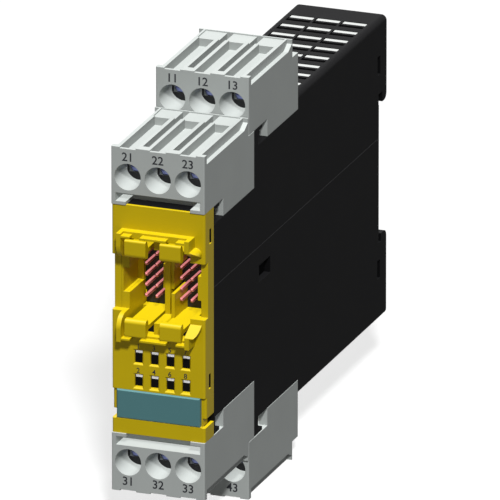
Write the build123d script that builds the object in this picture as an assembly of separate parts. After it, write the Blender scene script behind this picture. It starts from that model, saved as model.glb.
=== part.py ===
from build123d import *
import os

os.makedirs("parts", exist_ok=True)

# Safety expansion module for a 35 mm mounting rail.
# Frame: X across the module, Y backwards, Z up. The origin is the middle of the face that
# seats on the rail, and the front of the module looks along -Y.
# Sizes are in millimetres. "Depth" is counted backwards from the front face of the front
# terminal blocks, and "height" from the middle of the housing, which lies a little below the
# axis of the rail.

# Whole module
module_width = 22.5
seat_depth = 114.7
total_height = 101.6
rail_axis_rise = 0.55
wall = 1.5
fit_gap = 0.1

# Pluggable terminal block: four alike, three poles each
block_depth = 32.2
block_height = 18.0
block_lift = 4.2
leg_start = 12.15
leg_wall = 1.95
tier_back = 28.72
tier_rise = 9.55
pole_pitch = 7.25
block_edge_radius = 0.3

# Wire channels and slots in the top of a block
channel_width = 3.86
channel_depth = 2.2
channel_start = 0.8
channel_end_margin = 9.5
plateau_drop = 0.3
slot_width = 1.5
slot_start = 2.2
slot_end_margin = 4.1
ledge_width = 1.16
ledge_start = 1.5
ledge_ramp_length = 2.3
ledge_ramp_rise = 1.2
wire_hole_width = 2.0
wire_hole_length = 2.7

# Screwdriver holes, pry slot and clamp chambers in a block
driver_hole_diameter = 6.3
driver_hole_drop = 7.0
driver_hole_depth = 7.6
pry_lip = 0.8
pry_height = 2.0
pry_depth = 4.8
pry_side = 1.06
pry_lip_width = 2.42
chamber_width = 5.8
chamber_half_height = 3.4
chamber_back = 20.4

# Clamp screw, cage and contact bar of one pole
screw_head_diameter = 4.9
screw_head_thickness = 1.6
screw_head_setback = 0.4
screw_diameter = 3.0
screw_slot_width = 0.8
screw_slot_depth = 0.7
cross_width = 0.55
cross_depth = 1.05
thread_pitch = 0.5
clamp_turns = 5
bore_clearance = 0.05
cage_wall = 0.8
cage_end_wall = 1.6
cage_back_wall = 1.2
cage_width = 5.4
cage_height = 6.2
wire_space = 3.0
bar_thickness = 0.8
bar_width = 3.2
bar_depth = 15.0
bar_top_gap = 0.1
fork_depth = 23.4
fork_slot = 1.1
fork_foot = 0.8
strip_gap = 0.7

# Header pins of the housing, which the forks grip
pin_width = 1.0
pin_thickness = 0.6
pin_rise = 6.0
header_depth = 4.0
header_height = 4.6
pin_bend_step = 1.2

# Housing of two shells, split along a level seam
seam_height = 8.1
body_height = 72.9
step_rib = 2.5
front_rib = 0.8
housing_front = 6.05
body_edge_radius = 1.3
shell_lip = 0.7
shell_lip_height = 1.4
window_depth_start = 35.35
window_length = 7.35
window_height = 4.0
window_drop = 0.5

# Rail hooks behind the seat
rail_height = 35.0
hook_reach = 5.1
upper_overlap = 1.75
lower_overlap = 1.35
upper_slot = 2.3
upper_slot_rise = 2.5
lower_slot = 1.5
lower_slot_rise = 1.9
slot_relief = 0.2
hook_radius = 1.6
spring_thickness = 0.35
spring_width = 14.0
spring_rise = 1.5
side_mark_depth = 0.6
side_mark_start = 113.7
side_mark_length = 1.9
side_mark_height = 4.5
side_mark_top = 28.0
side_mark_bottom = -26.2

# Ventilation slots in the roof and the floor of the rear body
vent_columns = 3
vent_rows = 8
vent_width = 5.85
vent_column_pitch = 6.45
vent_length = 4.0
vent_row_pitch = 6.25
vent_last_depth = 112.3
vent_ledge = 1.5
guard_thickness = 0.9
guard_air_gap = 0.5
guard_side_gap = 0.3

# Front cover
cover_front = 0.38
cover_wall = 0.8
cover_height = 54.9
cover_skirt = 6.0
cover_edge_radius = 0.5
nose_gap = 0.07
nose_drop = 0.25
notch_low = 2.0
notch_high = 15.4
notch_depth = 2.33
notch_wall = 1.65
latch_length = 3.6
latch_setback = 0.3
latch_width = 1.3
latch_upper_depth = 3.2
latch_lower_depth = 2.8
latch_upper_height = 21.15
latch_lower_height = -13.5
skirt_notch_reach = 0.95
skirt_notch_wall_end = 4.4
skirt_notch_low = -24.0
skirt_notch_high = -21.9

# Connector bay in the cover, with two plug sockets side by side
bay_middle = 8.8
bay_height = 26.0
bay_half_width = 8.78
bay_wall = 1.1
bay_back = 15.5
socket_floor = 0.0
rim_reach = 3.93
rim_radius = 3.2
rim_shelf_reach = 1.98
rim_shelf_drop = 0.5
rim_shelf_thickness = 1.5
rim_bar_top = 0.95
rim_gap_width = 2.4
rim_gap_place = 4.35
ear_width = 1.65
ear_height = 3.6
ear_front_drop = 3.3
ear_back_drop = 1.3
tongue_width = 5.1
tongue_thickness = 1.0
tongue_root = 11.0
tongue_reach = 3.88
nose_length = 1.9
nose_rise = 1.4
nose_fall = 1.8
nose_radius = 0.9
socket_pitch = 8.46
partition_left = 0.85
partition_right = 0.45
partition_front = 6.9
key_front = 7.6
key_grow = 0.65
key_half_height = 2.9
thin_rib_place = 1.55
thin_rib_width = 0.8
thin_rib_front = 4.6
middle_rib_left = 0.95
middle_rib_right = 1.35
side_rib_width = 1.0
side_rib_place = 9.45
lip_thickness = 0.77
side_plate = 0.3
right_wall_start = 8.0

# Headers and pins of the two sockets
contact_pitch = 2.54
contact_rows = 5
contact_columns = 2
contact_width = 0.64
contact_front = 7.1
socket_base_front = 13.1
contact_tail = 0.8
contact_point = 0.2

# Status windows and their light guide
led_count = 4
led_pitch = 3.81
led_offset = 0.8
led_width = 1.92
led_height = 3.1
led_upper = -8.75
led_lower = -14.55
led_bevel = 0.3
guide_tip_height = 0.9
guide_setback = 0.35

# Label plate
label_width = 20.1
label_height = 6.9
label_bottom = -23.8
label_setback = 0.86
label_proud = 0.36
label_gap = 0.06
label_chamfer = 0.25

# Boards and what they carry
board_thickness = 1.6
board_gap = 0.35
board_edge_gap = 0.5
front_board_half_width = 8.8
front_board_low = -19.0
relay_width = 15.0
relay_depth = 28.0
relay_height = 12.6
relay_pitch = 14.6
relay_count = 4
relay_gap = 4.0
capacitor_diameter = 8.0
capacitor_length = 12.0
capacitor_margin = 14.7
capacitor_pitch = 20.0
chip_size = 10.0
chip_thickness = 1.2
chip_start = 40.0
chip_pitch = 22.0

# Places worked out from the sizes above
half_width = module_width / 2
channel_end = block_depth - channel_end_margin
slot_end = block_depth - slot_end_margin
ledge_ramp_start = slot_end - ledge_ramp_length
capacitor_start = seat_depth - capacitor_margin
relay_start = capacitor_start - relay_depth - relay_gap
half_height = total_height / 2
rear_floor = half_height - block_height - fit_gap
front_floor = rear_floor - tier_rise
body_top = body_height / 2
body_start = tier_back + block_depth + 2 * fit_gap
step_start = block_depth + fit_gap
cover_top = cover_height / 2
cavity_half = half_width - wall
hook_end = seat_depth + hook_reach
front_block_clear = front_floor + block_lift - fit_gap
rear_block_clear = rear_floor + block_lift - fit_gap
screw_axis = block_height - driver_hole_drop
pole_places = [-pole_pitch, 0, pole_pitch]
bay_top = bay_middle + bay_height / 2
bay_bottom = bay_middle - bay_height / 2
nose_front = cover_front + cover_wall + nose_gap
nose_half = half_width - cover_wall - nose_gap
nose_top = cover_top - nose_drop
upper_tip = rail_height / 2 - upper_overlap + rail_axis_rise
lower_tip = lower_overlap - rail_height / 2 + rail_axis_rise
upper_slot_top = upper_tip + upper_slot_rise
lower_slot_floor = lower_tip - lower_slot_rise
latches = [(latch_upper_depth, latch_upper_height), (latch_lower_depth, latch_lower_height)]


def y_of(depth):
    return depth - seat_depth


def z_of(height):
    return height - rail_axis_rise


def slab(x_low, x_high, depth_low, depth_high, low, high):
    """A block between limits: X, depth behind the front, height from the middle."""
    centre = Pos((x_low + x_high) / 2, y_of((depth_low + depth_high) / 2), z_of((low + high) / 2))
    return centre * Box(x_high - x_low, depth_high - depth_low, high - low)


def beside(side, near, far, depth_low, depth_high, low, high):
    """A block on the right (side 1) or the left (side -1), from near to far off the middle."""
    return slab(min(side * near, side * far), max(side * near, side * far), depth_low, depth_high,
                low, high)


def local_slab(x_low, x_high, y_low, y_high, z_low, z_high):
    """The same in a terminal block's own frame, which starts at its front and its feet."""
    centre = Pos((x_low + x_high) / 2, (y_low + y_high) / 2, (z_low + z_high) / 2)
    return centre * Box(x_high - x_low, y_high - y_low, z_high - z_low)


def across(points, x_low, x_high):
    """A side outline of (Y, Z) points, drawn across the module from x_low to x_high."""
    outline = make_face(Polyline(*points, close=True).edges())
    return extrude(Plane.YZ.offset(x_low) * outline, amount=x_high - x_low)


def side_view(points, x_low, x_high):
    """The same from (depth, height) points."""
    return across([(y_of(depth), z_of(height)) for depth, height in points], x_low, x_high)


def upside_down(shape):
    return mirror(shape, about=Plane.XY.offset(z_of(0)))


def save(name, *solids):
    shape = solids[0] if len(solids) == 1 else Compound(children=list(solids))
    shape.label = name
    export_step(shape, "parts/" + name + ".step")


# Terminal block


def block_outline():
    """Side outline: raised front, deep leg, and a low rear step that carries the next tier."""
    step_height = tier_rise + block_lift - fit_gap
    step_back = tier_back - 2 * fit_gap
    return [
        (0, block_lift), (leg_start, block_lift), (leg_start, 0), (block_depth, 0),
        (block_depth, step_height), (step_back, step_height), (step_back, block_height),
        (0, block_height),
    ]


def wire_channel(pole):
    """Open wire channel, its end wall and its hole down into the clamp."""
    half = channel_width / 2
    floor = block_height - channel_depth
    channel = local_slab(pole - half, pole + half, channel_start, channel_end, floor, block_height + 1)
    mouth = local_slab(pole - half, pole + half, -1, channel_start + 1, block_height - plateau_drop,
                       block_height + 1)
    start = bar_depth + bar_thickness + fit_gap
    hole = local_slab(pole + half - wire_hole_width, pole + half, start, start + wire_hole_length,
                      screw_axis, block_height)
    return channel + mouth + hole


def clamp_chamber(pole):
    """Screwdriver hole and the chamber that holds the screw, the cage and the contact bar."""
    half = chamber_width / 2
    driver = Pos(pole, 0, screw_axis) * Rot(-90, 0, 0) * Cylinder(
        driver_hole_diameter / 2, 2 * driver_hole_depth + 2)
    upper = local_slab(pole - half, pole + half, driver_hole_depth, chamber_back,
                       screw_axis - chamber_half_height, screw_axis + chamber_half_height)
    fork_back = fork_depth + bar_thickness + strip_gap
    lower = local_slab(pole - half, pole + half, bar_depth - strip_gap, fork_back, block_lift - 1,
                       screw_axis - chamber_half_height + 1)
    return driver + upper + lower


def side_ledge(side):
    """Low ledge along one upper edge, which ramps up near its end."""
    low = block_height - channel_depth
    ramp_end = slot_end
    points = [
        (ledge_start, low), (ledge_ramp_start, low), (ramp_end, low + ledge_ramp_rise),
        (ramp_end, block_height + 1), (ledge_start, block_height + 1),
    ]
    inner = side * (half_width - ledge_width)
    outer = side * (half_width + 1)
    return across(points, min(inner, outer), max(inner, outer))


def terminal_block():
    body = across(block_outline(), -half_width, half_width)
    upright = body.edges().filter_by(Axis.Z).group_by(Axis.Y)[0]
    body = fillet(upright, block_edge_radius)
    for pole in pole_places:
        body -= wire_channel(pole)
        body -= clamp_chamber(pole)
    for gap in (-pole_pitch / 2, pole_pitch / 2):
        body -= local_slab(gap - slot_width / 2, gap + slot_width / 2, slot_start, slot_end,
                           block_height - channel_depth, block_height + 1)
    plateau_half = half_width - ledge_width - pry_side / 2
    body -= local_slab(-plateau_half, plateau_half, channel_end, slot_end,
                       block_height - plateau_drop, block_height + 1)
    for side in (-1, 1):
        body -= side_ledge(side)
    leg_inside = half_width - leg_wall
    body -= local_slab(-leg_inside, leg_inside, leg_start - 1, block_depth - wall, -1, block_lift)
    body -= local_slab(-leg_inside, leg_inside, fork_depth + 3 * wall, block_depth - wall, -1,
                       block_height - 3 * wall - channel_depth)
    slot_half = half_width - pry_side
    pry_low = block_lift + pry_lip
    body -= local_slab(-slot_half, slot_half, -1, pry_depth, pry_low, pry_low + pry_height)
    mouth_half = slot_half - pry_lip_width
    body -= local_slab(-mouth_half, mouth_half, -1, pry_depth, block_lift - 1, pry_low + 1)
    return body


# Clamp of one pole, in the block's own frame


def clamp_screw(pole):
    """Slotted cross-head screw: it turns in place, and the cage climbs along it."""
    head_front = driver_hole_depth + screw_head_setback
    head_back = head_front + screw_head_thickness
    tip = bar_depth - fit_gap
    radius = screw_diameter / 2
    profile = make_face(Polyline(
        (0, head_front), (screw_head_diameter / 2 - 0.4, head_front),
        (screw_head_diameter / 2, head_front + 0.4), (screw_head_diameter / 2, head_back),
        (radius, head_back), (radius, tip - 0.4), (radius - 0.4, tip), (0, tip), close=True).edges())
    screw = revolve(profile, axis=Axis.Y)
    reach = screw_head_diameter
    screw -= Pos(0, head_front, 0) * Box(reach, 2 * screw_slot_depth, screw_slot_width)
    arm = screw_head_diameter * 0.6
    screw -= Pos(0, head_front, 0) * Box(arm, 2 * cross_depth, cross_width)
    screw -= Pos(0, head_front, 0) * Box(cross_width, 2 * cross_depth, arm)
    return Pos(pole, 0, screw_axis) * screw


def cage_front():
    """Where the front wall of an open cage starts, behind the travel of the clamp."""
    head_back = driver_hole_depth + screw_head_setback + screw_head_thickness
    return head_back + 3 * fit_gap + clamp_turns * thread_pitch


def clamp_cage(pole):
    """Square tube that the screw draws forwards, so that it nips the wire against the bar."""
    front = cage_front()
    back = bar_depth + bar_thickness + wire_space + cage_back_wall
    half = cage_width / 2
    cage = local_slab(-half, half, front, back, -cage_height / 2, cage_height / 2)
    cage = fillet(cage.edges().filter_by(Axis.Z), cage_wall / 2)
    inner = half - cage_wall
    cage -= local_slab(-inner, inner, front + cage_end_wall, back - cage_back_wall, -cage_height,
                       cage_height)
    bore = screw_diameter / 2 + bore_clearance
    cage -= Pos(0, front, 0) * Rot(-90, 0, 0) * Cylinder(bore, 4 * cage_end_wall)
    return Pos(pole, 0, screw_axis) * cage


def contact_bar(pole):
    """Tinned bar: upright through the cage, back under it, and down into a fork."""
    top = screw_axis + chamber_half_height - bar_top_gap
    strip_top = screw_axis - cage_height / 2 - strip_gap
    strip_low = strip_top - bar_thickness
    back = fork_depth + bar_thickness
    bar = across([
        (bar_depth, top), (bar_depth, strip_low), (fork_depth, strip_low), (fork_depth, fork_foot),
        (back, fork_foot), (back, strip_top), (bar_depth + bar_thickness, strip_top),
        (bar_depth + bar_thickness, top),
    ], -bar_width / 2, bar_width / 2)
    bar -= local_slab(-fork_slot / 2, fork_slot / 2, fork_depth - 1, back + 1, -1, pin_rise + fit_gap)
    return Pos(pole, 0, 0) * bar


# Header of one terminal block, in the block's own frame, with its feet at the floor


def header_pin(index, grow):
    """Bent pin: up through the floor into the fork, and sideways to the main board."""
    pole = pole_places[index]
    half = pin_width / 2 + grow
    middle = fork_depth + bar_thickness / 2
    thick = pin_thickness / 2 + grow
    bend = -wall - fit_gap - pin_bend_step * (index + 1)
    board_side = board_face()
    upright = local_slab(pole - half, pole + half, middle - thick, middle + thick, bend - thick, pin_rise)
    tail = local_slab(board_side, pole + half, middle - thick, middle + thick, bend - thick, bend + thick)
    return upright + tail


def board_face():
    """X of the main board's component side."""
    return -cavity_half + board_gap + board_thickness


def header_bar():
    middle = fork_depth + bar_thickness / 2
    top = -wall - fit_gap
    bar = local_slab(board_face() + fit_gap, cavity_half - fit_gap, middle - header_depth / 2,
                     middle + header_depth / 2, top - header_height, top)
    for index in range(len(pole_places)):
        bar -= header_pin(index, 0.02)
    return bar


def floor_holes():
    middle = fork_depth + bar_thickness / 2
    half = pin_width / 2 + fit_gap
    thick = pin_thickness / 2 + fit_gap
    holes = []
    for pole in pole_places:
        holes.append(local_slab(pole - half, pole + half, middle - thick, middle + thick, -wall - 1, 1))
    return holes


# Housing


def upper_edge(inset):
    """Stepped upper outline of the housing, from front to back, pulled in by inset."""
    front = front_floor - inset
    rear = rear_floor - inset
    top = body_top - inset
    if inset:
        return [
            (housing_front + inset, front), (step_start + inset, front), (step_start + inset, rear),
            (body_start + inset, rear), (body_start + inset, top),
        ]
    rib_end = housing_front + front_rib
    return [
        (housing_front, front_block_clear), (rib_end, front_block_clear), (rib_end, front),
        (step_start, front), (step_start, rear_block_clear), (step_start + step_rib, rear_block_clear),
        (step_start + step_rib, rear), (body_start, rear), (body_start, top),
    ]


def below(points):
    return [(depth, -height) for depth, height in reversed(points)]


def rail_side(inset):
    """Back outline, from the top down: both hooks and the seat between them."""
    end = hook_end - inset
    top = body_top - inset
    if inset:
        face = seat_depth - inset
        return [
            (end, top), (end, upper_slot_top + inset), (face, upper_slot_top + inset),
            (face, lower_slot_floor - inset), (end, lower_slot_floor - inset), (end, -top),
        ]
    return [
        (end, top), (end, upper_tip), (seat_depth + upper_slot, upper_tip),
        (seat_depth + upper_slot, upper_slot_top), (seat_depth - slot_relief, upper_slot_top),
        (seat_depth - slot_relief, upper_tip - fit_gap), (seat_depth, upper_tip - fit_gap),
        (seat_depth, lower_tip + fit_gap), (seat_depth - slot_relief, lower_tip + fit_gap),
        (seat_depth - slot_relief, lower_slot_floor), (seat_depth + lower_slot, lower_slot_floor),
        (seat_depth + lower_slot, lower_tip), (end, lower_tip), (end, -top),
    ]


def edges_at(shape, axis, **place):
    """Edges along one axis whose middle lies at the given X, Y or Z."""
    chosen = []
    for edge in shape.edges().filter_by(axis):
        middle = edge.center()
        if all(abs(getattr(middle, name) - value) < 0.01 for name, value in place.items()):
            chosen.append(edge)
    return chosen


def nose():
    """Black nose in front of the housing, which the cover slips over."""
    low_front = nose_front + label_setback
    label_top = label_bottom + label_height + cover_wall + 2 * fit_gap
    outline = [
        (nose_front, nose_top), (nose_front, label_top), (low_front, label_top),
        (low_front, -nose_top), (housing_front + 0.5, -nose_top), (housing_front + 0.5, nose_top),
    ]
    body = side_view(outline, -nose_half, nose_half)
    for depth, height in latches:
        for side in (-1, 1):
            body += beside(side, nose_half - 0.5, half_width - latch_setback, depth + fit_gap,
                           depth + latch_width - fit_gap, height - latch_length / 2 + fit_gap,
                           height + latch_length / 2 - fit_gap)
    notch_bottom = half_width - skirt_notch_reach - cover_wall - fit_gap
    for side in (-1, 1):
        body -= beside(side, notch_bottom, half_width, 0, skirt_notch_wall_end + fit_gap,
                       skirt_notch_low - fit_gap, skirt_notch_high + fit_gap)
    return body


def vent_cuts(row, column):
    """One slot in the roof: wide above, and only its back half open below."""
    middle = (column - (vent_columns - 1) / 2) * vent_column_pitch
    half = vent_width / 2
    back = vent_last_depth - row * vent_row_pitch
    upper = slab(middle - half, middle + half, back - vent_length, back, body_top - wall / 2, body_top + 1)
    lower = slab(middle - half, middle + half, back - vent_length + vent_ledge, back,
                 body_top - wall - 0.5, body_top)
    return upper + lower


def housing():
    """Whole hollow housing, before it is split at the seam."""
    outside = side_view(upper_edge(0) + rail_side(0) + below(upper_edge(0)), -half_width, half_width)
    long_edges = []
    for side in (-half_width, half_width):
        for height in (-body_top, body_top):
            long_edges += edges_at(outside, Axis.Y, X=side, Z=z_of(height))
    outside = fillet(long_edges, body_edge_radius)
    tips = []
    for tip in (upper_tip, lower_tip):
        tips += edges_at(outside, Axis.X, Y=y_of(hook_end), Z=z_of(tip))
    outside = fillet(tips, hook_radius)
    body = outside + nose()
    inside = upper_edge(wall) + rail_side(wall) + below(upper_edge(wall))
    body -= side_view(inside, -cavity_half, cavity_half)
    inner = nose_half - wall
    inner_front = nose_front + label_setback + wall
    body -= slab(-inner, inner, inner_front, housing_front + 2 * wall, wall - front_floor,
                 front_floor - wall)
    body -= slab(-inner, inner, 0, housing_front + 2 * wall, bay_bottom - fit_gap, bay_top + fit_gap)
    ledge_drop = cover_wall + fit_gap
    body -= slab(-half_width, half_width, 0, housing_front, notch_low - ledge_drop, notch_high + ledge_drop)
    opening = side_rib_place + 2 * fit_gap
    body -= slab(-opening, opening, 0, housing_front + 2 * wall, notch_low - fit_gap,
                 notch_high + fit_gap)
    for place, height in led_windows():
        tip_top = height + led_height / 2
        half = led_width / 2 + fit_gap / 2
        body -= slab(place - half, place + half, 0, inner_front + 1,
                     tip_top - guide_tip_height - fit_gap / 2, tip_top + fit_gap / 2)
    body -= slab(-half_width - 1, half_width + 1, window_depth_start,
                 window_depth_start + window_length, -window_drop, window_height - window_drop)
    for side in (-1, 1):
        for high in (side_mark_top, side_mark_bottom + side_mark_height):
            inside, outside_x = side * (half_width - side_mark_depth), side * (half_width + 1)
            body -= slab(min(inside, outside_x), max(inside, outside_x), side_mark_start,
                         side_mark_start + side_mark_length, high - side_mark_height, high)
    cuts = []
    for row in range(vent_rows):
        for column in range(vent_columns):
            slot = vent_cuts(row, column)
            cuts += [slot, upside_down(slot)]
    for hole in floor_holes():
        for floor, front in ((front_floor, 0), (rear_floor, tier_back)):
            placed = Pos(0, y_of(front), z_of(floor)) * hole
            cuts += [placed, upside_down(placed)]
    return body - cuts


def half_of_housing(whole, upper):
    reach = total_height
    if upper:
        return whole & slab(-reach, reach, -reach, 2 * reach, seam_height, reach)
    shell = whole & slab(-reach, reach, -reach, 2 * reach, -reach, seam_height)
    lip_start = bay_back + board_thickness + 1
    lip_end = seat_depth - 2 * wall
    shell += slab(cavity_half - shell_lip, cavity_half + wall / 2, lip_start, lip_end,
                  seam_height - 2 * shell_lip_height, seam_height)
    shell += slab(cavity_half - shell_lip, cavity_half - fit_gap, lip_start, lip_end,
                  seam_height - shell_lip_height, seam_height + shell_lip_height)
    return shell


def vent_guard():
    """Light finger guard under the roof: it rises into the slots, with an air gap at each row."""
    top = body_top - wall - fit_gap / 2
    half = cavity_half - guard_side_gap
    front = body_start + wall + fit_gap
    guard = slab(-half, half, front, vent_last_depth + fit_gap, top - guard_thickness, top)
    gaps = []
    for row in range(vent_rows):
        start = vent_last_depth - row * vent_row_pitch - vent_length + vent_ledge
        gaps.append(slab(-half + wall, half - wall, start, start + guard_air_gap, top - 2 * guard_thickness,
                         top + 1))
        for column in range(vent_columns):
            middle = (column - (vent_columns - 1) / 2) * vent_column_pitch
            pad_half = vent_width / 2 - fit_gap
            guard += slab(middle - pad_half, middle + pad_half, start + guard_air_gap,
                          vent_last_depth - row * vent_row_pitch - fit_gap, top - fit_gap,
                          body_top - wall / 2)
    return guard - gaps


def rail_spring():
    """Sheet steel spring folded into the lower hook, which presses the rail upwards."""
    front = seat_depth - slot_relief + fit_gap / 2
    back = seat_depth + lower_slot - fit_gap / 2
    floor = lower_slot_floor + fit_gap / 2
    top = floor + spring_rise
    t = spring_thickness
    spring = side_view([
        (front, top), (front, floor), (back, floor), (back, top), (back - t, top),
        (back - t, floor + t), (front + t, floor + t), (front + t, top),
    ], -spring_width / 2, spring_width / 2)
    corners = edges_at(spring, Axis.X, Y=y_of(front), Z=z_of(floor))
    corners += edges_at(spring, Axis.X, Y=y_of(back), Z=z_of(floor))
    return fillet(corners, t)


# Front cover with the connector bay


def led_windows():
    """(X, height) of the middle of each status window."""
    first = led_offset - (led_count - 1) / 2 * led_pitch
    return [(first + k * led_pitch, height) for height in (led_upper, led_lower) for k in range(led_count)]


def cover_shell():
    label_top = label_bottom + label_height + label_gap
    label_low = label_bottom - label_gap
    floor = cover_front + label_setback
    inner = cover_front + cover_wall
    outside = [
        (cover_front, cover_top), (cover_front, label_top), (floor, label_top), (floor, label_low),
        (cover_front, label_low), (cover_front, -cover_top), (cover_skirt, -cover_top),
        (cover_skirt, cover_top),
    ]
    inside = [
        (inner, cover_top + 1), (inner, label_top + cover_wall),
        (floor + cover_wall, label_top + cover_wall),
        (floor + cover_wall, -cover_top - 1), (cover_skirt + 1, -cover_top - 1),
        (cover_skirt + 1, cover_top + 1),
    ]
    body = side_view(outside, -half_width, half_width)
    corners = []
    for side in (-half_width, half_width):
        corners += [edge for edge in body.edges().filter_by(Axis.Z)
                    if abs(edge.center().X - side) < 0.01 and edge.center().Y < y_of(inner + label_setback)]
    body = fillet(corners, cover_edge_radius)
    body -= side_view(inside, cover_wall - half_width, half_width - cover_wall)
    for depth, height in latches:
        body -= slab(-half_width - 1, half_width + 1, depth, depth + latch_width,
                     height - latch_length / 2, height + latch_length / 2)
    for side in (-1, 1):
        bottom = half_width - skirt_notch_reach
        body -= beside(side, bottom, half_width + 1, 0, cover_skirt + 1, skirt_notch_low, skirt_notch_high)
        body += beside(side, bottom - cover_wall, bottom, floor, skirt_notch_wall_end, skirt_notch_low,
                       skirt_notch_high)
    return body


def side_walls():
    """Side walls, keyway and ribs of the bay where the cover's sides are cut back."""
    low, high = notch_low, notch_high
    ledges = []
    for side in (-1, 1):
        for floor in (low - cover_wall, high):
            ledges.append(beside(side, bay_half_width - 0.1, half_width - cover_wall + 0.1,
                                 cover_front + 0.1, notch_depth + cover_wall, floor, floor + cover_wall))
    key_low, key_high = bay_middle - key_half_height, bay_middle + key_half_height
    body = slab(-half_width, notch_wall - half_width, notch_depth, cover_skirt, low, high)
    body += slab(half_width - notch_wall, half_width, notch_depth, cover_skirt, low, high)
    body += slab(-side_rib_place - fit_gap, side_plate - side_rib_place, notch_depth,
                 socket_base_front - fit_gap, low, high)
    for start, end in ((low, key_low), (key_high, high)):
        body += slab(-side_rib_place, side_rib_width - side_rib_place, notch_depth,
                     socket_base_front - fit_gap, start, end)
        body += slab(-side_rib_place, side_rib_width + lip_thickness - side_rib_place, notch_depth,
                     notch_depth + lip_thickness, start, end)
    inner = bay_half_width - bay_wall
    body += slab(inner, bay_half_width, right_wall_start, bay_back, low - 0.5, high + 0.5)
    body += slab(bay_half_width, half_width - notch_wall + 0.2, notch_depth, cover_skirt, key_low, key_high)
    return body + ledges


def rim_side(x_low, x_high, low):
    """Side wall of a rim: it stands forward, with its corner towards the bay rounded off."""
    front = cover_front - rim_reach
    wall_side = side_view([(cover_front + 0.2, low), (front, low), (front, notch_low),
                           (cover_front + 0.2, notch_low)], x_low, x_high)
    corner = edges_at(wall_side, Axis.X, Y=y_of(front), Z=z_of(notch_low))
    return fillet(corner, rim_radius)


def rim_guide(x_low, x_high, low):
    """Right wall of a rim, sloped back towards the bay, with a rounded ear beside it."""
    front = cover_front - rim_reach
    back = cover_front + 0.2
    slope = [(back, low), (front, low), (front, notch_low - ear_front_drop),
             (cover_front, notch_low - ear_back_drop), (back, notch_low - ear_back_drop)]
    ear_low = notch_low - ear_height
    ear = slab(x_high - 0.1, x_high + ear_width, front, back, ear_low, notch_low)
    ear = fillet(edges_at(ear, Axis.Y, X=x_high + ear_width, Z=z_of(ear_low)), ear_width - 0.15)
    return side_view(slope, x_low, x_high) + (ear & side_view(slope, x_low, x_high + ear_width))


def snap_tongue(place):
    """Springy tongue that snaps behind a plug, with a blunt nose at its tip."""
    top = socket_floor
    low = top - tongue_thickness
    front = cover_front - tongue_reach
    neck = front + nose_length
    half = tongue_width / 2
    tongue = side_view([
        (tongue_root + 0.5, low), (neck, low), (front + nose_length / 2, low - nose_fall),
        (front, low - nose_fall), (front, top + nose_rise), (neck - 0.3, top + nose_rise), (neck, top),
        (tongue_root + 0.5, top),
    ], place - half, place + half)
    tip = edges_at(tongue, Axis.X, Y=y_of(front), Z=z_of(top + nose_rise))
    tongue = fillet(tip, nose_radius)
    chin = edges_at(tongue, Axis.X, Y=y_of(front), Z=z_of(low - nose_fall))
    return fillet(chin, nose_radius / 2)


def bay_half():
    """Lower half of the bay: rim, floor, tongues and ribs. The upper half mirrors it."""
    half = bay_half_width
    inner = half - bay_wall
    low = bay_bottom
    floor = socket_floor
    back = socket_base_front - fit_gap
    front = cover_front - rim_reach
    step = cover_front - rim_shelf_reach
    body = rim_side(-half, -inner, low) + rim_guide(inner, half, low)
    body += slab(-half, half, step, cover_front + 0.2, low, low + rim_shelf_thickness)
    shelf = slab(-inner - 0.1, inner + 0.1, front, step + 0.1, low + rim_shelf_drop, low + rim_bar_top)
    for side in (-1, 1):
        gap = side * rim_gap_place
        shelf -= slab(gap - rim_gap_width / 2, gap + rim_gap_width / 2, front - 1, step, low, floor)
    body += shelf
    tunnel_low = low + 2 * fit_gap
    for side in (-1, 1):
        near, far = side * inner, side * half
        body += slab(min(near, far), max(near, far), cover_front + 0.1, bay_back, tunnel_low, notch_low)
    body += slab(-half, half, cover_front + 0.1, bay_back, tunnel_low, tunnel_low + bay_wall)
    body += slab(-inner - 0.1, inner + 0.1, tongue_root, back, floor - tongue_thickness, floor)
    for side in (-1, 1):
        body += snap_tongue(side * socket_pitch / 2)
    rib = slab(-middle_rib_left, middle_rib_right, 0, back, tunnel_low + bay_wall / 2, floor)
    rib = fillet(edges_at(rib, Axis.Y, X=middle_rib_right, Z=z_of(floor)), middle_rib_right / 2)
    body += rib
    body += slab(-partition_left, partition_right, partition_front, back, floor - 0.2, bay_middle)
    thin_low = floor + 1.5 * fit_gap
    key_low = bay_middle - key_half_height
    body += slab(thin_rib_place, thin_rib_place + thin_rib_width, thin_rib_front, back, thin_low, key_low)
    body += slab(thin_rib_place, thin_rib_place + thin_rib_width, tongue_root + 0.2, back, floor - 0.5,
                 thin_low + 0.5)
    body += slab(-partition_left - key_grow, partition_right + key_grow, key_front, back, key_low,
                 bay_middle)
    return body


def front_cover():
    body = cover_shell()
    body -= slab(-half_width - 1, half_width + 1, 0, notch_depth, notch_low, notch_high)
    inner = bay_half_width - bay_wall
    body -= slab(-inner, inner, 0, cover_skirt, bay_bottom + bay_wall, bay_top - bay_wall)
    body += side_walls()
    lower = bay_half()
    body += lower
    body += mirror(lower, about=Plane.XY.offset(z_of(bay_middle)))
    for place, height in led_windows():
        body -= slab(place - led_width / 2, place + led_width / 2, 0, cover_front + cover_wall + 0.05,
                     height - led_height / 2, height + led_height / 2)
        mouth = Plane(origin=(place, y_of(cover_front), z_of(height)), x_dir=(1, 0, 0), z_dir=(0, 1, 0))
        outline = mouth * Rectangle(led_width + 2 * led_bevel, led_height + 2 * led_bevel)
        body -= extrude(outline, amount=led_bevel, taper=45)
    return body


def label_plate():
    low = label_bottom
    front = cover_front - label_proud
    plate = slab(-label_width / 2, label_width / 2, front, cover_front + label_setback, low,
                 low + label_height)
    return chamfer(plate.faces().sort_by(Axis.Y)[0].edges(), label_chamfer)


# Sockets, boards and light guide


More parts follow.
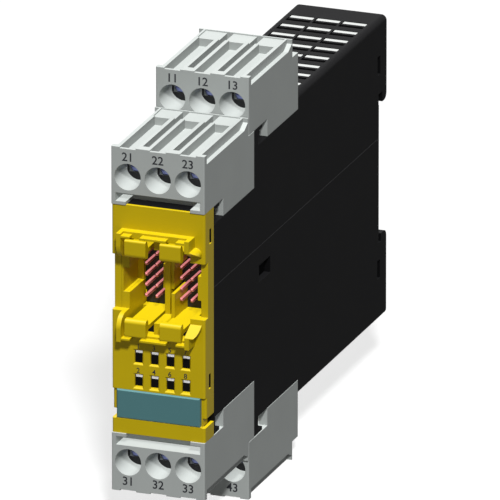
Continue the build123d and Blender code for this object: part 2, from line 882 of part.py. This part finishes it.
def contact_places(socket):
    middle = socket * socket_pitch / 2
    for column in range(contact_columns):
        for row in range(contact_rows):
            yield (middle + (column - (contact_columns - 1) / 2) * contact_pitch,
                   bay_middle + (row - (contact_rows - 1) / 2) * contact_pitch)


def contact_pin(place, height, grow):
    """Square pin with a blunt point, through the base and the board."""
    back = bay_back + fit_gap + board_thickness + contact_tail
    side = contact_width + 2 * grow
    pin = Pos(place, y_of((contact_front + back) / 2), z_of(height)) * Box(side, back - contact_front, side)
    if grow:
        return pin
    return chamfer(pin.faces().sort_by(Axis.Y)[0].edges(), contact_point)


def socket_base(socket):
    inner = bay_half_width - bay_wall - fit_gap
    near = fit_gap / 2
    low, high = (near, inner) if socket > 0 else (-inner, -near)
    base = slab(low, high, socket_base_front, bay_back + fit_gap / 2, socket_floor + fit_gap,
                2 * bay_middle - socket_floor - fit_gap)
    return base - [contact_pin(place, height, 0.02) for place, height in contact_places(socket)]


def front_board():
    start = bay_back + fit_gap
    board = slab(-front_board_half_width, front_board_half_width, start, start + board_thickness,
                 front_board_low, front_floor - wall - board_edge_gap)
    for socket in (-1, 1):
        board -= [contact_pin(place, height, 0.02) for place, height in contact_places(socket)]
    return board


def main_board():
    """Board along the left wall, stepped like the housing."""
    front = bay_back + fit_gap + board_thickness + 2 * fit_gap
    drop = wall + board_edge_gap
    upper = [
        (front, front_floor - drop), (step_start + drop, front_floor - drop),
        (step_start + drop, rear_floor - drop), (body_start + drop, rear_floor - drop),
        (body_start + drop, body_top - wall - guard_thickness - board_edge_gap),
        (seat_depth - drop, body_top - wall - guard_thickness - board_edge_gap),
    ]
    return side_view(upper + below(upper), board_face() - board_thickness, board_face())


def light_guide():
    """Clear comb: two rows of tips behind the windows, led from the front board."""
    first = led_offset - (led_count - 1) / 2 * led_pitch - led_width / 2
    last = first + (led_count - 1) * led_pitch + led_width
    back = bay_back
    body_front = nose_front + label_setback + wall + fit_gap
    rows = [row + led_height / 2 for row in (led_upper, led_lower)]
    guide = slab(first, last, back - wall, back, rows[1] - guide_tip_height, rows[0])
    for top in rows:
        guide += slab(first, last, body_front, back, top - guide_tip_height, top)
    for place, height in led_windows():
        top = height + led_height / 2
        guide += slab(place - led_width / 2, place + led_width / 2, nose_front + guide_setback,
                      body_front + 0.2, top - guide_tip_height, top)
    return guide


def relays():
    start = board_face() + fit_gap
    cases = []
    for k in range(relay_count):
        middle = (k - (relay_count - 1) / 2) * relay_pitch
        case = slab(start, start + relay_width, relay_start, relay_start + relay_depth,
                    middle - relay_height / 2, middle + relay_height / 2)
        cases.append(chamfer(case.faces().sort_by(Axis.X)[-1].edges(), board_edge_gap))
    return cases


def capacitors():
    start = board_face() + fit_gap
    cans = []
    for side in (-1, 1):
        height = side * capacitor_pitch / 2
        depth = capacitor_start + capacitor_diameter / 2
        middle = Pos(start + capacitor_length / 2, y_of(depth), z_of(height))
        cans.append(middle * Rot(0, 90, 0) * Cylinder(capacitor_diameter / 2, capacitor_length))
    return cans


def chips():
    start = board_face() + fit_gap
    return [
        slab(start, start + chip_thickness, chip_start, chip_start + chip_size,
             side * chip_pitch / 2 - chip_size / 2, side * chip_pitch / 2 + chip_size / 2)
        for side in (-1, 1)
    ]


# The four tiers: where each block stands, and whether it is turned over
front_rest = front_floor + fit_gap
rear_rest = rear_floor + fit_gap
tiers = {
    "front_top": (0, front_rest, False),
    "rear_top": (tier_back, rear_rest, False),
    "rear_bottom": (tier_back, rear_rest, True),
    "front_bottom": (0, front_rest, True),
}

block = terminal_block()
screws = [clamp_screw(pole) for pole in pole_places]
cages = [clamp_cage(pole) for pole in pole_places]
bars = [contact_bar(pole) for pole in pole_places]
pins = [header_pin(index, 0) for index in range(len(pole_places))]
bar_block = header_bar()

for tier, (front, feet, turned) in tiers.items():
    if turned:
        stand = Pos(0, y_of(front), z_of(-feet)) * Rot(0, 180, 0)
    else:
        stand = Pos(0, y_of(front), z_of(feet))
    save(tier + "_block", stand * block)
    save(tier + "_contacts", *[stand * bar for bar in bars])
    for index in range(len(pole_places)):
        save(f"{tier}_screw_{index + 1}", stand * screws[index])
        save(f"{tier}_cage_{index + 1}", stand * cages[index])
    on_floor = Pos(0, y_of(front), z_of(feet - fit_gap))
    header = on_floor * bar_block
    header_pins = [on_floor * pin for pin in pins]
    if turned:
        header = upside_down(header)
        header_pins = [upside_down(pin) for pin in header_pins]
    save(tier + "_header", header)
    save(tier + "_header_pins", *header_pins)

whole = housing()
save("housing_upper_shell", half_of_housing(whole, True))
save("housing_lower_shell", half_of_housing(whole, False))
guard = vent_guard()
save("roof_vent_guard", guard)
save("floor_vent_guard", upside_down(guard))
save("rail_spring", rail_spring())
save("front_cover", front_cover())
save("label_plate", label_plate())
save("left_socket_base", socket_base(-1))
save("right_socket_base", socket_base(1))
save("left_socket_pins", *[contact_pin(x, h, 0) for x, h in contact_places(-1)])
save("right_socket_pins", *[contact_pin(x, h, 0) for x, h in contact_places(1)])
save("front_board", front_board())
save("main_board", main_board())
save("light_guide", light_guide())
save("relays", *relays())
save("capacitors", *capacitors())
save("control_chips", *chips())
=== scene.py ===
import bpy
import math
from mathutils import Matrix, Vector


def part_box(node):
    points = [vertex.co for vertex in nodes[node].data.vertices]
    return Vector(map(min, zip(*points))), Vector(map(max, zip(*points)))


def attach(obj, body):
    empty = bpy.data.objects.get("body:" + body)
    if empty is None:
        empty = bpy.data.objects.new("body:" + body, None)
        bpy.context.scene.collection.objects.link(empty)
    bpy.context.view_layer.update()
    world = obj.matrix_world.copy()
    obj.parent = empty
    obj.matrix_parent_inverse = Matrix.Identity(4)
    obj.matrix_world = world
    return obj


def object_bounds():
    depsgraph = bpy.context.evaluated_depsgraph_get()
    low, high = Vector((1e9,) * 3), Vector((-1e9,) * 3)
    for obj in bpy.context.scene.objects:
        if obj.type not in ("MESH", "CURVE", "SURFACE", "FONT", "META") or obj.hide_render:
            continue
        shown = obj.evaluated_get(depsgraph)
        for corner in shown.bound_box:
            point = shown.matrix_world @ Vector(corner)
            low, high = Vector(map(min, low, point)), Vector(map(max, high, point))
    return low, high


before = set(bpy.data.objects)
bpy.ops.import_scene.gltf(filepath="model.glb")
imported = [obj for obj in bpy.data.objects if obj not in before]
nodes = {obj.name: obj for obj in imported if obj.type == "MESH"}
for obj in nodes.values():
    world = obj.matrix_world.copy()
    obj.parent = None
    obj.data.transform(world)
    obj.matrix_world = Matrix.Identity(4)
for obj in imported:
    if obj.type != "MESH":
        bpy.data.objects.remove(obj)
cad_box = [list(corner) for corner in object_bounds()]

# View
# The module is seen from its right, a little from above, as through a very long lens, because
# the photograph shows no perspective. The aim is the point in the middle of the picture.
mm = 0.001
view_turn = math.radians(20.35)
view_rise = math.radians(19.6)
view_width = 114.0 * mm
lens = 1700
sensor = 36
aim = Vector((1.05, -57.7, -1.75)) * mm
distance = view_width * lens / sensor
towards = Vector((math.sin(view_turn) * math.cos(view_rise),
                  -math.cos(view_turn) * math.cos(view_rise), math.sin(view_rise)))
bpy.ops.object.camera_add(location=aim + towards * distance)
camera = bpy.context.object
camera.rotation_euler = (math.pi / 2 - view_rise, 0, view_turn)
camera.data.lens = lens
camera.data.sensor_width = sensor
bpy.context.scene.camera = camera
bpy.context.scene.view_settings.view_transform = "Standard"

# Lamps
# One crisp lamp over the camera's right shoulder, which the photograph's cast shadows give, and
# one broad lamp straight above for its bright tops, which casts none.
# Each has the direction towards it, its strength, its spread in degrees, and if it casts shadows.
lamps = {
    "key_lamp": ((0.33, -0.7, 0.63), 3.5, 6, True),
    "top_lamp": ((0.0, -0.05, 1.0), 6.5, 12, False),
}
for name, (direction, strength, spread, shadows) in lamps.items():
    bpy.ops.object.light_add(type="SUN")
    lamp = bpy.context.object
    lamp.name = name
    lamp.rotation_euler = Vector(direction).to_track_quat("Z", "Y").to_euler()
    lamp.data.energy = strength
    lamp.data.angle = math.radians(spread)
    lamp.data.use_shadow = shadows

# Studio
# A dim white room all round. It is plain white to the camera, and in what gloss and clear
# plastic show of it.
room_level = 0.07
white_level = 1.0


def linear(code):
    """An sRGB hex colour as Blender's linear red, green, blue and alpha."""
    values = [int(code[i:i + 2], 16) / 255 for i in (0, 2, 4)]
    return [v / 12.92 if v <= 0.04045 else ((v + 0.055) / 1.055) ** 2.4 for v in values] + [1]


def put(tree, kind, settings, links=None):
    """Adds a node, sets its properties and sockets, and links sockets to earlier nodes."""
    node = tree.nodes.new(kind)
    for name, value in settings.items():
        if name in node.inputs:
            node.inputs[name].default_value = value
        else:
            setattr(node, name, value)
    for socket, source in (links or {}).items():
        tree.links.new(source, node.inputs[socket])
    return node


studio = bpy.data.worlds.new("studio")
bpy.context.scene.world = studio
studio.use_nodes = True
tree = studio.node_tree
tree.nodes.clear()
rays = put(tree, "ShaderNodeLightPath", {})
room = put(tree, "ShaderNodeBackground", {"Color": linear("FFFFFF"), "Strength": room_level})
white = put(tree, "ShaderNodeBackground", {"Color": linear("FFFFFF"), "Strength": white_level})
seen = put(tree, "ShaderNodeMath", {"operation": "MAXIMUM"},
           {0: rays.outputs["Is Camera Ray"], 1: rays.outputs["Is Transmission Ray"]})
seen = put(tree, "ShaderNodeMath", {"operation": "MAXIMUM"},
           {0: seen.outputs[0], 1: rays.outputs["Is Glossy Ray"]})
both = put(tree, "ShaderNodeMixShader", {},
           {0: seen.outputs[0], 1: room.outputs[0], 2: white.outputs[0]})
put(tree, "ShaderNodeOutputWorld", {}, {0: both.outputs[0]})

# Floor
# A plain sheet of matt paper just under the module. It comes out white in the picture and keeps
# the shadow, but throws less light back up, so the undersides stay as dark as they are.
floor_size = 6
floor_gap = 0.1 * mm
seen_paper = "A4A4A4"
bounce_paper = "505050"
bpy.ops.mesh.primitive_plane_add(size=floor_size, location=(0, 0, cad_box[0][2] - floor_gap))
floor = bpy.context.object
floor.name = "floor"
bpy.ops.object.transform_apply(location=True, rotation=True, scale=True)
floor_paper = bpy.data.materials.new("Matt white paper")
floor_paper.use_nodes = True
tree = floor_paper.node_tree
tree.nodes.clear()
rays = put(tree, "ShaderNodeLightPath", {})
for_camera = put(tree, "ShaderNodeBsdfDiffuse", {"Color": linear(seen_paper)})
for_bounce = put(tree, "ShaderNodeBsdfDiffuse", {"Color": linear(bounce_paper)})
both = put(tree, "ShaderNodeMixShader", {},
           {0: rays.outputs["Is Camera Ray"], 1: for_bounce.outputs[0], 2: for_camera.outputs[0]})
put(tree, "ShaderNodeOutputMaterial", {}, {0: both.outputs[0]})
floor.data.materials.append(floor_paper)

# Housing
# Two shells of black glass-filled polyamide, moulded and clipped together along a level seam.
# Their spark-eroded tools leave a fine dull grain.
cloud_size = 9
edge_radius = 0.12


def moulded(name, code, roughness, specular, grain, depth, mottle):
    """Injection-moulded plastic: a faint mottle in the colour and the mould's fine grain.

    The grain's width and depth are in millimetres. Real grain is finer: it is drawn as coarse
    as it needs to show. The edges are softened as every mould softens them.
    """
    plastic = bpy.data.materials.new(name)
    plastic.use_nodes = True
    tree = plastic.node_tree
    shader = tree.nodes["Principled BSDF"]
    shader.inputs["Roughness"].default_value = roughness
    shader.inputs["Specular IOR Level"].default_value = specular
    shader.inputs["IOR"].default_value = 1.5
    place = put(tree, "ShaderNodeTexCoord", {})
    cloud = put(tree, "ShaderNodeTexNoise", {"Scale": 1 / (cloud_size * mm), "Detail": 3.0},
                {"Vector": place.outputs["Object"]})
    colour = linear(code)
    dark = [channel * (1 - mottle) for channel in colour[:3]] + [1]
    light = [min(1, channel * (1 + mottle)) for channel in colour[:3]] + [1]
    ramp = put(tree, "ShaderNodeValToRGB", {}, {0: cloud.outputs[0]})
    ramp.color_ramp.elements[0].position = 0.3
    ramp.color_ramp.elements[0].color = dark
    ramp.color_ramp.elements[1].position = 0.7
    ramp.color_ramp.elements[1].color = light
    tree.links.new(ramp.outputs[0], shader.inputs["Base Color"])
    pits = put(tree, "ShaderNodeTexNoise", {"Scale": 1 / (grain * mm), "Detail": 2.0},
               {"Vector": place.outputs["Object"]})
    edges = put(tree, "ShaderNodeBevel", {"Radius": edge_radius * mm, "samples": 4})
    bump = put(tree, "ShaderNodeBump", {"Strength": 0.5, "Distance": depth * mm},
               {"Height": pits.outputs[0], "Normal": edges.outputs[0]})
    tree.links.new(bump.outputs[0], shader.inputs["Normal"])
    return plastic


def dress(material, *names):
    """Gives CAD nodes their material."""
    for name in names:
        nodes[name].data.materials.clear()
        nodes[name].data.materials.append(material)


# Deep black with hardly any gloss, a little uneven in tone.
housing_black = moulded("Black polyamide, spark-eroded grain", "0B0B0C", roughness=0.5,
                        specular=0.04, grain=0.35, depth=0.03, mottle=0.08)
dress(housing_black, "housing_upper_shell", "housing_lower_shell")

# Seam
# The shells meet in a hairline along both sides, drawn as a paler bar that is a painted highlight.
# It runs from the front cover to the rounded back.
bar_edge = 0.06


def bars(name, boxes, material, body):
    """One piece of small bars with rounded edges, each between two corners in millimetres."""
    bpy.ops.object.select_all(action="DESELECT")
    parts = []
    for low, high in boxes:
        bpy.ops.mesh.primitive_cube_add(size=1, location=[(a + b) / 2 * mm for a, b in zip(low, high)])
        bpy.context.object.scale = [(b - a) * mm for a, b in zip(low, high)]
        parts.append(bpy.context.object)
    for part in parts:
        part.select_set(True)
    bpy.ops.object.transform_apply(location=True, rotation=True, scale=True)
    if len(parts) > 1:
        bpy.ops.object.join()
    piece = bpy.context.object
    piece.name = name
    bpy.ops.object.modifier_add(type="BEVEL")
    piece.modifiers["Bevel"].width = bar_edge * mm
    piece.modifiers["Bevel"].segments = 2
    bpy.ops.object.modifier_apply(modifier="Bevel")
    piece.data.materials.append(material)
    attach(piece, body)


def on_both_sides(boxes):
    """The bars and their mirror images on the left of the module."""
    return boxes + [((-high[0], low[1], low[2]), (-low[0], high[1], high[2])) for low, high in boxes]


seam_front = -108.6
seam_back = -1.0
seam_proud = 0.01
seam_half_height = 0.05
half_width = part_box("housing_upper_shell")[1].x / mm
seam_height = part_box("housing_upper_shell")[0].z / mm
# A shade lighter than the shells: a painted highlight along the seam.
seam_highlight_black = moulded("Black polyamide, painted seam highlight", "2A2A2C", roughness=0.4,
                     specular=0.2, grain=0.35, depth=0.01, mottle=0.05)
hairline = ((half_width - seam_proud, seam_front, seam_height - seam_half_height),
            (half_width + seam_proud, seam_back, seam_height + seam_half_height))
bars("seam_edges", on_both_sides([hairline]), seam_highlight_black, "housing")

# Terminal latches
# Short black tabs, moulded on the shells, reach back from two steps of the housing into the
# notches in the sides of the terminal blocks, just under the ceilings of the notches.
step_walls = [(-107.9, 26.8), (-79.95, 36.35)]
tab_length = 3.0
tab_height = 0.9
tab_inside = 9.9
tab_outside = 11.15
middle_height = (cad_box[0][2] + cad_box[1][2]) / 2 / mm


def above_and_below(boxes):
    """The bars and their mirror images in the lower half of the module."""
    return boxes + [((low[0], low[1], 2 * middle_height - high[2]),
                     (high[0], high[1], 2 * middle_height - low[2])) for low, high in boxes]


tabs = []
for wall, ceiling in step_walls:
    tabs.append(((tab_inside, wall, ceiling - tab_height), (tab_outside, wall + tab_length, ceiling)))
bars("terminal_latches", above_and_below(on_both_sides(tabs)), housing_black, "housing")

# Finger guards
# Light grey strips moulded in polycarbonate and clipped under the slots of the roof and the
# floor. A cap fills the back of each slot, and a black bar in front of it is painted shade
# for the depth of the slot.
slot_columns = [-6.45, 0, 6.45]
slot_rows = 8
slot_pitch = 6.25
last_slot_back = -2.4
cap_half_width = 2.78
cap_clearance = 0.02
shade_bar_half_width = 2.83
shade_bar_back = 1.45
shade_bar_front = 2.4
guard_low = 35.1
guard_high = 35.78
# Pale and even, so that the slots show as bright strips between black bars.
guard_grey = moulded("Light grey polycarbonate, satin", "9A9C9A", roughness=0.4,
                     specular=0.4, grain=0.5, depth=0.01, mottle=0.02)
dress(guard_grey, "roof_vent_guard", "floor_vent_guard")
caps = []
slot_shade_bars = []
for column in slot_columns:
    for row in range(slot_rows):
        back = last_slot_back - row * slot_pitch
        caps.append(((column - cap_half_width, back - shade_bar_back, guard_low),
                     (column + cap_half_width, back - cap_clearance, guard_high)))
        slot_shade_bars.append(((column - shade_bar_half_width, back - shade_bar_front, guard_low),
                      (column + shade_bar_half_width, back - shade_bar_back, guard_high)))
bars("vent_guard_caps", above_and_below(caps), guard_grey, "housing")
# Black bars in front of the caps: painted shade for the deep part of each slot.
bars("vent_slot_shade_bars", above_and_below(slot_shade_bars), housing_black, "housing")

# Rail spring
# A strip of spring steel, bent to shape and pushed into the lower hook, where it presses the
# rail upwards.


def drawn(name, code, roughness, grain, depth, metallic=1):
    """Drawn or plated metal: fine lines from front to back, and a gloss that changes a little.

    The lines' width and depth are in millimetres, and coarser than real ones, so that they show.
    """
    metal = bpy.data.materials.new(name)
    metal.use_nodes = True
    tree = metal.node_tree
    shader = tree.nodes["Principled BSDF"]
    shader.inputs["Base Color"].default_value = linear(code)
    shader.inputs["Metallic"].default_value = metallic
    place = put(tree, "ShaderNodeTexCoord", {})
    stretch = put(tree, "ShaderNodeMapping", {"Scale": (1, 0.15, 1)}, {"Vector": place.outputs["Object"]})
    lines = put(tree, "ShaderNodeTexNoise", {"Scale": 1 / (grain * mm), "Detail": 3.0},
                {"Vector": stretch.outputs[0]})
    gloss = put(tree, "ShaderNodeMapRange", {"To Min": roughness - 0.08, "To Max": roughness + 0.08},
                {"Value": lines.outputs[0]})
    tree.links.new(gloss.outputs[0], shader.inputs["Roughness"])
    bump = put(tree, "ShaderNodeBump", {"Strength": 0.4, "Distance": depth * mm},
               {"Height": lines.outputs[0]})
    tree.links.new(bump.outputs[0], shader.inputs["Normal"])
    return metal


# Bright cool grey with fine lines from the rolling.
spring_steel = drawn("Bright spring steel", "B9BCC2", roughness=0.3, grain=0.3, depth=0.003)
dress(spring_steel, "rail_spring")

# Boards
# Laminate boards stand along and across the housing. They carry sealed relays, two capacitors
# and two chips, all soldered.
# Dark green and glossy, blotched where copper lies under the mask.
board_green = moulded("Green solder mask on laminate", "14502E", roughness=0.3,
                      specular=0.5, grain=0.6, depth=0.01, mottle=0.12)
dress(board_green, "main_board", "front_board")
# Black with a soft sheen. The dark case is also painted shade for the inside of the housing.
relay_black = moulded("Black relay case, polyester", "1A1A1C", roughness=0.45,
                      specular=0.3, grain=0.4, depth=0.01, mottle=0.03)
dress(relay_black, "relays")
# Charcoal, and duller than the relays.
chip_black = moulded("Chip resin", "17171A", roughness=0.5,
                     specular=0.3, grain=0.2, depth=0.01, mottle=0.05)
dress(chip_black, "control_chips")
# Blue-black and glossy, like the shrunk film that it is.
can_sleeve = moulded("Capacitor sleeve", "2A3040", roughness=0.3,
                     specular=0.5, grain=0.5, depth=0.006, mottle=0.03)
dress(can_sleeve, "capacitors")

# Sockets
# Two black bases moulded in glass-filled polyester hold ten square pins each, which are plated
# and pressed in.
# Black without shine, a shade greyer than the housing.
base_black = moulded("Black polyester, dull", "1E1E20", roughness=0.6,
                     specular=0.3, grain=0.3, depth=0.015, mottle=0.05)
dress(base_black, "left_socket_base", "right_socket_base")
# Reddish and only half mirroring, so that the pins show their colour against the black.
pin_copper = drawn("Copper-plated pin", "BC7072", roughness=0.35, grain=0.4, depth=0.004, metallic=0.35)
dress(pin_copper, "left_socket_pins", "right_socket_pins")

# Headers
# Under each terminal block three tinned pins stand in a black polyester bar on the main board,
# and reach up through the shell.
tiers = ["front_top", "rear_top", "rear_bottom", "front_bottom"]
# Pale, soft metal without a clear mirror.
contact_tin = drawn("Tin plating, dull", "C8C8C4", roughness=0.4, grain=0.5, depth=0.003)
for tier in tiers:
    dress(base_black, tier + "_header")
    dress(contact_tin, tier + "_header_pins")

# Light guide
# A comb moulded in milky polycarbonate, which stands on the front board and carries its status
# lights to the windows.
# White, with a faint painted glow that makes it brighter than its lighting gives; the lights are off.
guide_painted_glow = 0.35
guide_white = moulded("Milky polycarbonate light guide", "FAFAFC", roughness=0.25,
                      specular=0.5, grain=0.8, depth=0.004, mottle=0.01)
guide_inputs = guide_white.node_tree.nodes["Principled BSDF"].inputs
guide_inputs["Emission Color"].default_value = linear("FFFFFF")
guide_inputs["Emission Strength"].default_value = guide_painted_glow
dress(guide_white, "light_guide")

# Front cover
# One yellow moulding in polyamide, with the plug bay, its guides and snap tongues and the windows
# of the status lights. It slips over the black nose of the housing and clips into it through its
# sides. Thin black sheets under and over the tongues are painted shade in the bay.
bay_front = -112.6
bay_back = -101.9
web_sides = (-9.45, -7.7)
web_heights = (2.2, 15.2)
web_thickness = 1.2
rib_sides = (-8.6, -7.66)
rib_front = -112.3
rib_heights = [(1.4, 5.3), (11.2, 14.9)]
shade_sheet_half_width = 7.6
shade_sheet_thickness = 0.08
shade_sheet_heights = [-3.47, 19.89]
# Warm yellow of very even colour, with a soft sheen.
cover_yellow = moulded("Signal yellow polyamide, satin", "A48F00", roughness=0.42,
                       specular=0.25, grain=0.45, depth=0.012, mottle=0.02)
dress(cover_yellow, "front_cover")
guides = [((web_sides[0], bay_back - web_thickness, web_heights[0]),
           (web_sides[1], bay_back, web_heights[1]))]
for low, high in rib_heights:
    guides.append(((rib_sides[0], rib_front, low), (rib_sides[1], bay_back, high)))
bars("bay_guides", guides, cover_yellow, "housing")
shade_sheets = []
for height in shade_sheet_heights:
    shade_sheets.append(((-shade_sheet_half_width, bay_front, height),
                    (shade_sheet_half_width, bay_back, height + shade_sheet_thickness)))
# Thin black sheets over the bay's yellow faces: painted shade under and over the tongues.
bars("bay_shade_sheets", shade_sheets, housing_black, "housing")

# Cover latches
# The shells have two black polyamide latches in each side that rise through the cover's slots
# and hook the rear edge of the slot there.
latch_slots = [(-111.5, 20.6), (-111.9, -14.05)]
hook_setback = 1.0
hook_thickness = 0.28
hook_half_height = 1.65
hook_inside = 10.86
hook_outside = 11.23
hooks = []
for front, height in latch_slots:
    hooks.append(((hook_inside, front + hook_setback, height - hook_half_height),
                  (hook_outside, front + hook_setback + hook_thickness, height + hook_half_height)))
bars("cover_latches", on_both_sides(hooks), housing_black, "housing")

# Label plate
# A teal plate for the user's own marking, moulded in polycarbonate and snapped into the cover.
# Greyish teal, smoother than the cover around it.
label_teal = moulded("Teal polycarbonate, satin", "41676A", roughness=0.38,
                     specular=0.3, grain=0.6, depth=0.008, mottle=0.02)
dress(label_teal, "label_plate")

# Terminal blocks
# Four alike, moulded in grey polyamide, the lower two upside down. Each is pushed on the pins
# of its header and levered off again by its pry slot.
# Neutral mid grey in satin, on which each edge and shadow shows.
terminal_grey = moulded("Grey polyamide, satin", "8F9391", roughness=0.45,
                        specular=0.25, grain=0.4, depth=0.012, mottle=0.02)
for tier in tiers:
    dress(terminal_grey, tier + "_block")

# Clamps
# In each pole a blue-zinc screw draws a black-zinc cage along, which grips the wire against a
# tinned contact bar. Its fork holds the pin of the header.
poles = [1, 2, 3]
# Lavender blue with soft highlights.
screw_zinc = drawn("Blue zinc plating", "787EAC", roughness=0.3, grain=0.5, depth=0.004)
# Almost black, with a metal's sheen. The dark tone is also painted shade for the chambers round the
# screws.
cage_zinc = drawn("Black zinc plating", "24262C", roughness=0.4, grain=0.4, depth=0.004)
for tier in tiers:
    dress(contact_tin, tier + "_contacts")
    for pole in poles:
        dress(screw_zinc, f"{tier}_screw_{pole}")
        dress(cage_zinc, f"{tier}_cage_{pole}")

# Chamber shades
# Behind each driver hole a thin black sheet sits in the walls of the chamber, as painted shade.
# It is open round the slot of the screw.
chamber_shade_depth = 7.63
chamber_shade_thickness = 0.12
chamber_shade_half_width = 2.95
chamber_shade_half_height = 3.45
hole_half_width = 2.4
hole_low = -1.3
hole_high = 2.4
for tier in tiers:
    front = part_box(tier + "_block")[0].y / mm + chamber_shade_depth
    chamber_shades = []
    for pole in poles:
        low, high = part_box(f"{tier}_screw_{pole}")
        across = (low.x + high.x) / 2 / mm
        height = (low.z + high.z) / 2 / mm
        for left, right, bottom, top in (
                (-chamber_shade_half_width, chamber_shade_half_width, -chamber_shade_half_height, hole_low),
                (-chamber_shade_half_width, chamber_shade_half_width, hole_high, chamber_shade_half_height),
                (-chamber_shade_half_width, -hole_half_width, hole_low, hole_high),
                (hole_half_width, chamber_shade_half_width, hole_low, hole_high)):
            chamber_shades.append(((across + left, front, height + bottom),
                            (across + right, front + chamber_shade_thickness, height + top)))
    # Black sheets in each screw chamber: painted shade for the dark inside of the chamber.
    bars(f"{tier}_screw_chamber_shades", chamber_shades, base_black, tier + "_terminal")

# Printed numbers
# A plain number at each terminal and at each status window, pad-printed in dark ink on the
# moulded faces.
ink_thickness = 0.02 * mm
capital_share = 0.7
ink_spread = 0.02
# Nearly black and flat.
ink = moulded("Dark printing ink", "202226", roughness=0.6,
              specular=0.3, grain=0.3, depth=0.002, mottle=0.03)


def printed(name, text, height, place, body):
    """One number, drawn as text, made a mesh and laid on the face at its middle point."""
    bpy.ops.object.select_all(action="DESELECT")
    bpy.ops.object.text_add(location=place, rotation=(math.pi / 2, 0, 0))
    mark = bpy.context.object
    mark.name = name
    mark.data.body = text
    mark.data.align_x = "CENTER"
    mark.data.align_y = "CENTER"
    mark.data.size = height / capital_share
    mark.data.offset = ink_spread * height
    mark.data.extrude = ink_thickness / 2
    mark.data.resolution_u = 3
    bpy.ops.object.convert(target="MESH")
    bpy.ops.object.transform_apply(location=True, rotation=True, scale=True)
    mark.data.materials.append(ink)
    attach(mark, body)


terminal_number_height = 2.0 * mm
terminal_number_drop = 2.35 * mm
pole_pitch = 7.25 * mm
first_numbers = {"rear_top": 11, "front_top": 21, "front_bottom": 31, "rear_bottom": 41}
for tier, first in first_numbers.items():
    low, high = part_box(tier + "_block")
    line = high.z - terminal_number_drop if tier.endswith("top") else low.z + terminal_number_drop
    for column in range(3):
        place = ((column - 1) * pole_pitch, low.y - ink_thickness / 4, line)
        printed(f"{tier}_number_{column + 1}", str(first + column), terminal_number_height, place,
                tier + "_terminal")

window_number_height = 1.2 * mm
windows_middle = 0.8 * mm
window_pitch = 3.81 * mm
window_lines = [-6.75 * mm, -12.55 * mm]
window_face = -114.32 * mm
for row, line in enumerate(window_lines):
    for column in range(4):
        number = 2 * column + row + 1
        place = (windows_middle + (column - 1.5) * window_pitch, window_face - ink_thickness / 4, line)
        printed(f"window_number_{number}", str(number), window_number_height, place, "housing")
